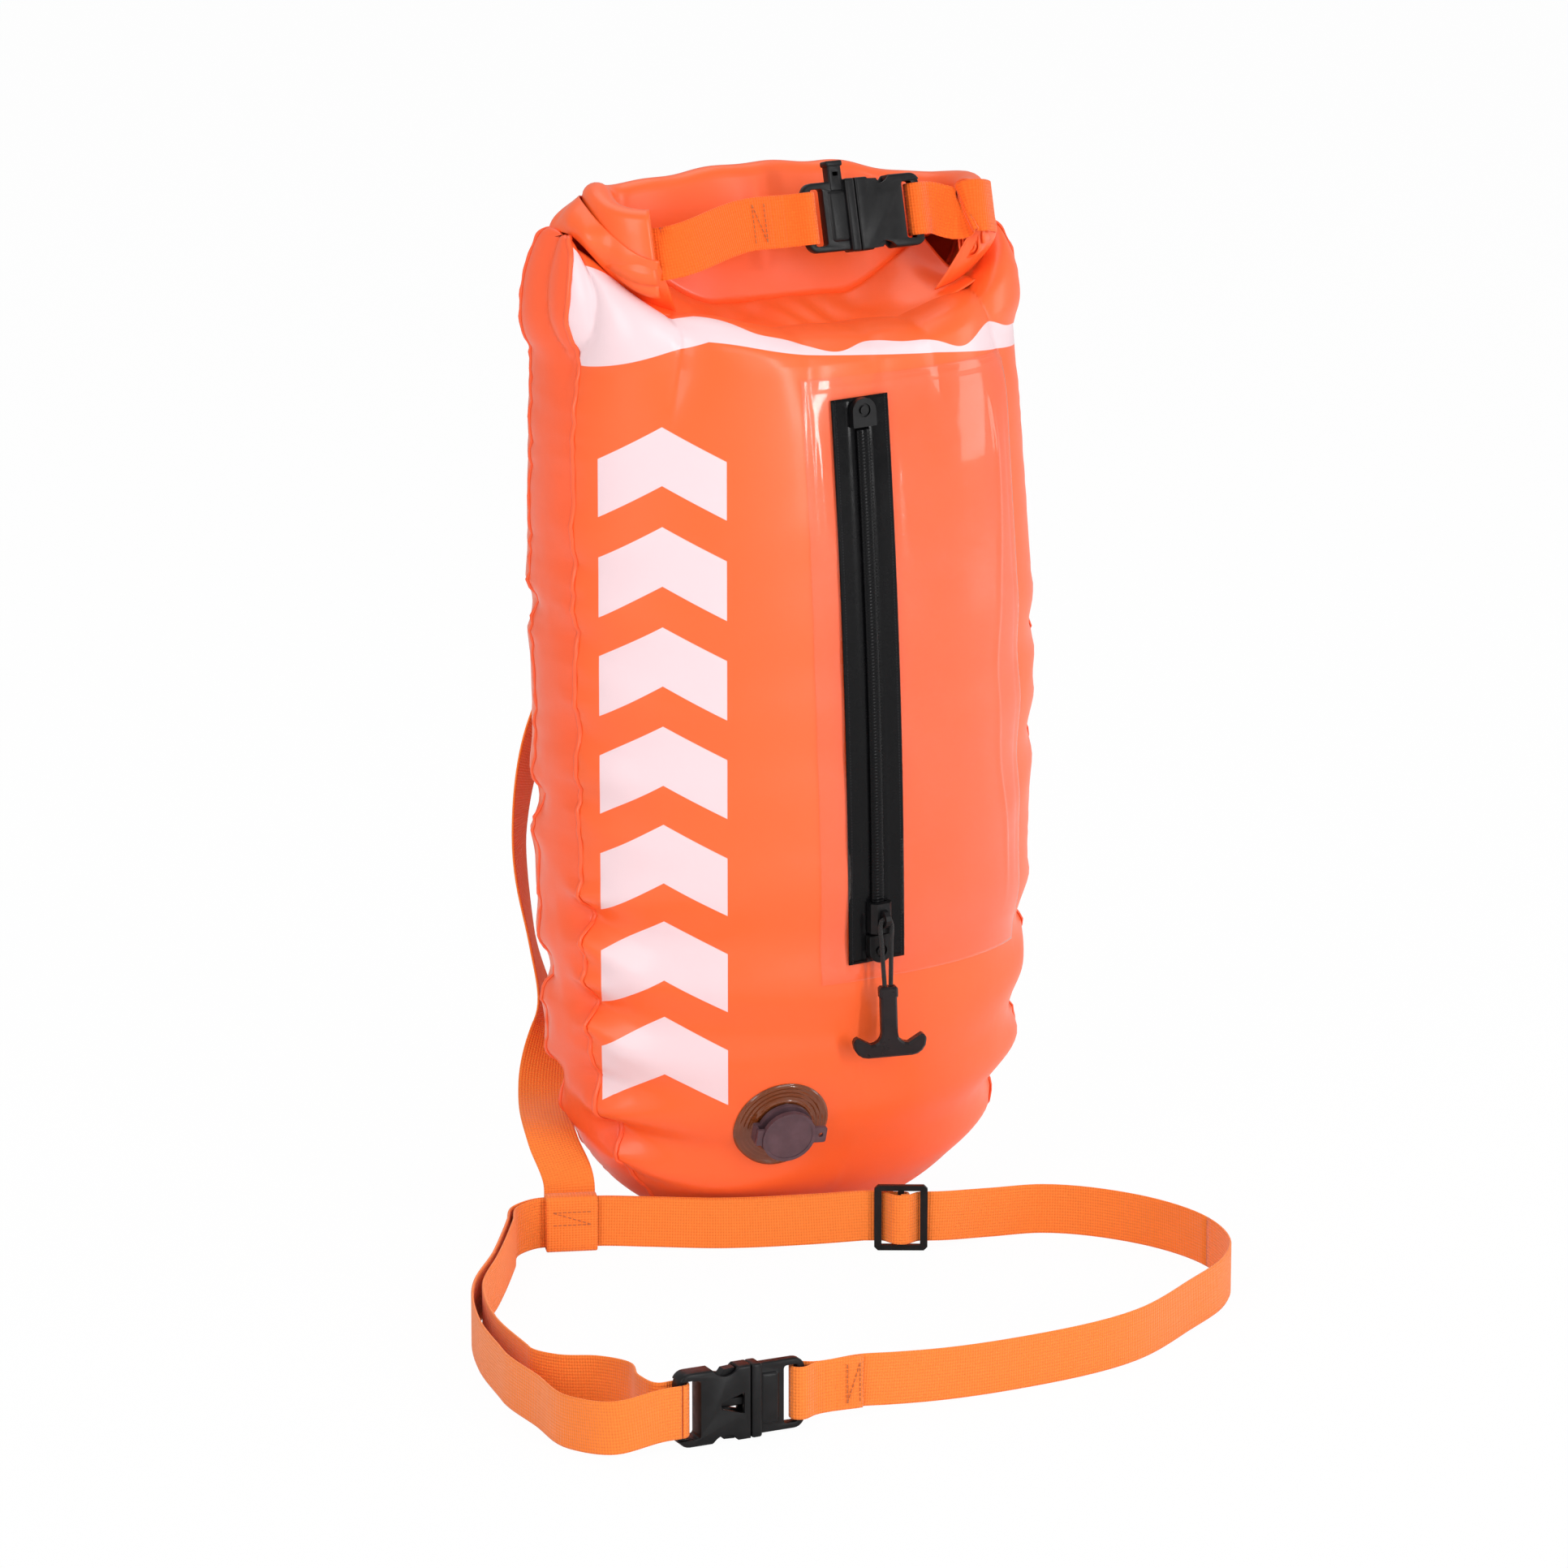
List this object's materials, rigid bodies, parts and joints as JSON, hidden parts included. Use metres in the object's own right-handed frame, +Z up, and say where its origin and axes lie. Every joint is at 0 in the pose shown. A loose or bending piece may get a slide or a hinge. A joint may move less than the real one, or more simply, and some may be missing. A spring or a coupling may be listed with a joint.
{
  "type": "open water swim buoy",
  "caption": "Inflatable open water swim buoy with a roll top dry compartment, buckled carry handle, clear phone pocket with zip, inflation valve, tow leash and adjustable waist belt.",
  "frame": {"origin": "centre of the flattened base that the bag stands on", "axes": "+Z up along the bag, +X to the right of someone who faces the pocket, -Y out of the pocket side"},
  "size_m": [0.3985, 0.3894, 0.529],
  "materials": {
    "black_plastic": "fine satin",
    "clear_film": "clear gloss",
    "gusset_fabric": "satin coated fabric",
    "handle_rubber": "satin",
    "liner_film": "satin film",
    "pull_cord": "matt braid",
    "shell_fabric": "satin coated fabric",
    "silicone": "satin",
    "stiffener": "matt",
    "valve_flange": "translucent gloss",
    "valve_plastic": "satin",
    "webbing": "matt woven webbing",
    "zip_tape": "gloss coated tape"
  },
  "bodies": {
    "bag": {"back_panel": "shell_fabric", "belt_buckle_female": "black_plastic", "belt_return": "webbing", "belt_webbing": "webbing", "closure_buckle_female": "black_plastic", "closure_strap_left": "webbing", "closure_strap_right": "webbing", "front_panel": "shell_fabric", "inner_dry_bag": "liner_film", "leash_loop": "webbing", "leash_patch": "shell_fabric", "leash_strap": "webbing", "mouth_stiffener": "stiffener", "pocket_window": "clear_film", "rolled_mouth": "shell_fabric", "side_gusset": "gusset_fabric", "valve_collar": "valve_plastic", "valve_flange": "valve_flange", "valve_neck": "valve_plastic", "zip_bottom_garage": "black_plastic", "zip_chain": "zip_tape", "zip_tape": "zip_tape", "zip_top_garage": "black_plastic"},
    "closure_male": {"closure_buckle_male": "black_plastic"},
    "closure_arm_upper": {"closure_buckle_arm_upper": "black_plastic"},
    "closure_arm_lower": {"closure_buckle_arm_lower": "black_plastic"},
    "belt_male": {"belt_buckle_male": "black_plastic"},
    "belt_arm_upper": {"belt_buckle_arm_upper": "black_plastic"},
    "belt_arm_lower": {"belt_buckle_arm_lower": "black_plastic"},
    "zip_slider": {"zip_slider": "black_plastic"},
    "zip_pull": {"pull_cord": "pull_cord", "pull_handle": "handle_rubber"},
    "valve_cap": {"valve_cap": "valve_plastic"},
    "valve_flap": {"valve_diaphragm": "silicone"},
    "tri_glide": {"tri_glide": "black_plastic"}
  },
  "joints": [
    {"name": "closure_release", "type": "slide", "parent": "bag", "child": "closure_male", "axis": [-1, 0, 0], "range_m": [0, 0.03], "deforming": ["closure_strap_left", "closure_buckle_arm_upper", "closure_buckle_arm_lower"]},
    {"name": "closure_squeeze_upper", "type": "hinge", "parent": "closure_male", "child": "closure_arm_upper", "pos_m": [0.019, -0.03477, 0.51067], "axis": [0, 0.9703, -0.2419], "range_deg": [0, 16], "stiffness_Nm_per_rad": 0.02},
    {"name": "closure_squeeze_lower", "type": "hinge", "parent": "closure_male", "child": "closure_arm_lower", "pos_m": [0.019, -0.03888, 0.49417], "axis": [0, -0.9703, 0.2419], "range_deg": [0, 16], "stiffness_Nm_per_rad": 0.02},
    {"name": "belt_release", "type": "slide", "parent": "bag", "child": "belt_male", "axis": [0.9976, -0.0698, 0], "range_m": [0, 0.03], "deforming": ["belt_webbing", "belt_buckle_arm_upper", "belt_buckle_arm_lower"]},
    {"name": "belt_squeeze_upper", "type": "hinge", "parent": "belt_male", "child": "belt_arm_upper", "pos_m": [-0.1895, -0.2924, 0.026], "axis": [-0.0698, -0.9976, 0], "range_deg": [0, 16], "stiffness_Nm_per_rad": 0.02},
    {"name": "belt_squeeze_lower", "type": "hinge", "parent": "belt_male", "child": "belt_arm_lower", "pos_m": [-0.1895, -0.2924, 0.009], "axis": [0.0698, 0.9976, 0], "range_deg": [0, 16], "stiffness_Nm_per_rad": 0.02},
    {"name": "zip_travel", "type": "hinge", "parent": "bag", "child": "zip_slider", "pos_m": [-0.00114, 2.314, 0.275], "axis": [-0.9994, 0, -0.0359], "range_deg": [0, 5.5]},
    {"name": "pull_swing", "type": "hinge", "parent": "zip_slider", "child": "zip_pull", "pos_m": [0.00268, -0.09345, 0.16867], "axis": [-0.9994, 0, -0.0359], "range_deg": [-4, 150]},
    {"name": "cap_hinge", "type": "hinge", "parent": "bag", "child": "valve_cap", "pos_m": [-0.058, -0.07318, 0.06365], "axis": [0, 0.2955, -0.9553], "range_deg": [0, 150]},
    {"name": "flap_travel", "type": "slide", "parent": "bag", "child": "valve_flap", "axis": [0.1686, 0.9417, 0.2913], "range_m": [0, 0.0015], "stiffness_N_per_m": 8},
    {"name": "adjuster_slide", "type": "slide", "parent": "bag", "child": "tri_glide", "axis": [-0.8616, 0.5075, 0], "range_m": [0, 0.05], "deforming": ["belt_webbing", "belt_return"]}
  ],
  "couplings": [
    {"joint": "closure_squeeze_lower", "follows": "closure_squeeze_upper", "ratio": 1},
    {"joint": "belt_squeeze_lower", "follows": "belt_squeeze_upper", "ratio": 1}
  ]
}
